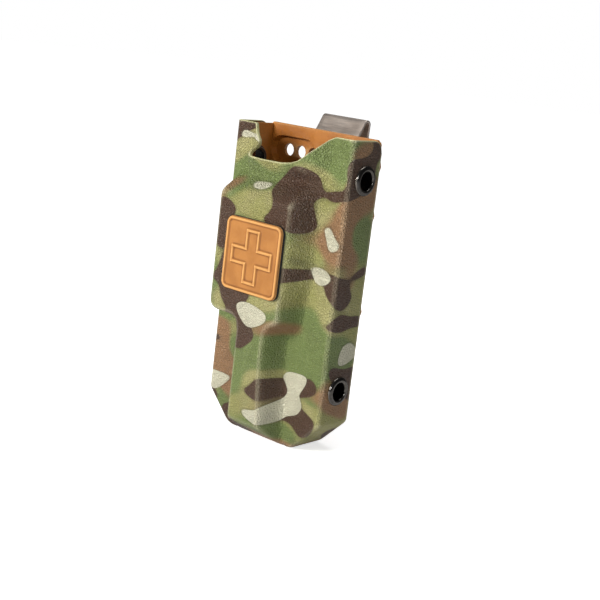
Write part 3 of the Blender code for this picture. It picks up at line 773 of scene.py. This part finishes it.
def belt_clip():
    y_fixed = CLIP_FRONT + CLIP_T / 2
    meet = crown_point(180 - 33)
    run = (meet[0] - y_fixed) / math.tan(math.radians(33))
    knee = meet[1] - run
    fixed = [(y_fixed, 60.0), (y_fixed, 70.0), (y_fixed, 85.0), (y_fixed, 100.0), (y_fixed, 120), (y_fixed, knee - 6), (y_fixed, knee - 2.5), (y_fixed + 0.35, knee - 0.5), (y_fixed + 1.3, knee + 1.6), (y_fixed + 1.3 + 3.0 * math.tan(math.radians(33)), knee + 4.6), meet]
    over = [crown_point(a) for a in (132, 117, 103, 90, 72, 54, 36, 18)]
    y = BEND_Y + BEND_R
    spring = [(y, LOOP_Z), (y - 0.35, 158.0), (y - 0.7, 146.0), (y - 1.6, 132), (y - 2.6, 118.0), (y - 4.4, 98.0), (y - 4.8, 91.0), (y - 4.0, 86.0), (y - 1.4, 80.0), (y + 2.4, 73.0), (y + 4.8, 68.0)]
    path = smooth_path(fixed + over + spring, 0.8)
    d = np.gradient(path, axis=0)
    d /= np.linalg.norm(d, axis=1)[:, None]
    nrm = np.stack([-d[:, 1], d[:, 0]], 1)
    r = 0.28
    half = CLIP_T / 2
    # cross-section: a flat strip with eased long edges, (across, through)
    cross = []
    for sx, sn, t0 in ((1, 1, 0), (-1, 1, 90), (-1, -1, 180), (1, -1, 270)):
        for k in range(4):
            t = math.radians(t0 + 30 * k)
            cross.append((sx, r * math.cos(t), sn * (half - r) + r * math.sin(t)))
    xs = np.linspace(CLIP_X1 - 1.2, CLIP_X0 + 1.2, 14)[1:-1]
    ring = cross[:4] + [(0, v, half) for v in xs] + cross[4:12] + [(0, v, -half) for v in xs[::-1]] + cross[12:]
    total = np.concatenate([[0], np.cumsum(np.linalg.norm(np.diff(path, axis=0), axis=1))])
    verts = []
    for i, (c, nn) in enumerate(zip(path, nrm)):
        # rounded corners at both free ends of the strip
        e = min(total[i], total[-1] - total[i])
        ease = 4.0 - math.sqrt(max(16.0 - (4.0 - min(e, 4.0)) ** 2, 0.0))
        for item in ring:
            sx, off, th = item
            if sx:
                x = (CLIP_X1 - r - ease if sx > 0 else CLIP_X0 + r + ease) + off
            else:
                x = min(max(off, CLIP_X0 + 1.0 + ease), CLIP_X1 - 1.0 - ease)
            verts.append((x, c[0] + nn[0] * th, c[1] + nn[1] * th))
    m = len(ring)
    faces = []
    for i in range(len(path) - 1):
        for k in range(m):
            a, b = i * m + k, i * m + (k + 1) % m
            faces.append((a, b, b + m, a + m))
    faces.append(tuple(range(m)))
    faces.append(tuple((len(path) - 1) * m + k for k in reversed(range(m))))
    obj = mesh_object("bent_belt_clip", verts, faces, [STEEL], angle=45)
    for z in PAD_ROWS:
        c = lathe("cutter", [(0.001, CLIP_FRONT - 2), (2.3, CLIP_FRONT - 2), (2.3, CLIP_FRONT + CLIP_T + 2), (0.001, CLIP_FRONT + CLIP_T + 2)], (8.5, 0.0, z), "y", [STEEL], 32)
        cut(obj, c)
    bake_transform(obj)
    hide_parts("belt_clip_fixed_leg", "belt_clip_spring_leg")


belt_clip()

# ------------------------------------------------------------------ carried-over nodes
for name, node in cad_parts.items():
    mat = {"front_shell": CAMO, "back_plate": TAN, "cross_badge": BADGE_MAT, "badge_adhesive_pad": FOAM_AND_SHADOW}.get(name)
    if mat is None:
        mat = OXIDE if name.startswith(("clip_screw", "binding_post")) else RUBBER if name.startswith("rubber") else STEEL if name.startswith("belt") else NICKEL
    node.data.materials.clear()
    node.data.materials.append(mat)
    if name.startswith(("clip_screw", "binding_post", "rubber")):
        b = node.modifiers.new("eased", "BEVEL")
        b.width, b.segments, b.limit_method, b.angle_limit = 0.00012, 2, "ANGLE", math.radians(35)


# ------------------------------------------------------------------ stage, light, camera
def softbox(name, location, target, size, power, tint=(1, 1, 1), size_y=None):
    light = bpy.data.lights.new(name, "AREA")
    light.shape = "RECTANGLE"
    light.size, light.size_y = size, size_y or size
    light.energy, light.color = power, tint
    o = bpy.data.objects.new(name, light)
    bpy.context.scene.collection.objects.link(o)
    o.location = location
    o.rotation_euler = (Vector(target) - Vector(location)).to_track_quat("-Z", "Y").to_euler()
    return o


floor_mat = Graph("floor_card")
floor_mm = floor_mat.object_mm()
floor_mat.put(floor_mat.bsdf.inputs["Base Color"], floor_mat.mix(floor_mat.span(floor_mat.noise(floor_mm, 0.01, 2.0), 0.3, 0.7), (0.93, 0.93, 0.93, 1), (0.90, 0.90, 0.90, 1)))
floor_mat.bsdf.inputs["Roughness"].default_value = 0.9
# a lit white table: it glows away from the object, and only takes the object's shadow close to it
away = floor_mat.vec("LENGTH", floor_mm)
to_eye = floor_mat.node("ShaderNodeLightPath").outputs["Is Camera Ray"]
floor_mat.bsdf.inputs["Emission Color"].default_value = (1, 1, 1, 1)
floor_mat.put(floor_mat.bsdf.inputs["Emission Strength"], floor_mat.math("MULTIPLY", floor_mat.span(away, 40.0, 260.0, 0.62, 1.0), floor_mat.span(to_eye, 0.0, 1.0, 0.03, 1.0, False)))
me = bpy.data.meshes.new("floor")
me.from_pydata([(-6, -6, -0.0004), (6, -6, -0.0004), (6, 6, -0.0004), (-6, 6, -0.0004)], [], [(0, 1, 2, 3)])
me.materials.append(floor_mat.mat)
floor = bpy.data.objects.new("floor", me)
bpy.context.scene.collection.objects.link(floor)

world = bpy.data.worlds.new("studio")
bpy.context.scene.world = world
world.use_nodes = True
wt = world.node_tree
back = wt.nodes["Background"]
back.inputs["Color"].default_value = (1, 1, 1, 1)
seen = wt.nodes.new("ShaderNodeLightPath")
level = wt.nodes.new("ShaderNodeMapRange")         # the backdrop is white, and lights the object only a little
level.inputs["To Min"].default_value, level.inputs["To Max"].default_value = 0.08, 1.0
wt.links.new(seen.outputs["Is Camera Ray"], level.inputs["Value"])
wt.links.new(level.outputs[0], back.inputs["Strength"])
bpy.context.scene.view_settings.view_transform = "Standard"

MID = (0.0, 0.0, 0.085)
softbox("key_box", (-0.22, -1.0, 0.46), MID, 0.30, 14.2, (1.0, 0.985, 0.955))
softbox("right_box", (0.80, -0.62, 0.40), MID, 0.20, 2.6, (0.95, 0.98, 1.0))
softbox("top_box", (0.0, 0.20, 1.05), (0.0, 0.05, 0.0), 0.6, 4.0)

cam = bpy.data.cameras.new("camera")
cam.lens, cam.sensor_width = 69.62, 36.0
cam.shift_x, cam.shift_y = 0.00009, -0.00009
camera = bpy.data.objects.new("camera", cam)
bpy.context.scene.collection.objects.link(camera)
camera.location = (0.39047, -0.45990, 0.20776)
camera.rotation_euler = [math.radians(a) for a in (77.516, -6.801, 41.337)]
bpy.context.scene.camera = camera
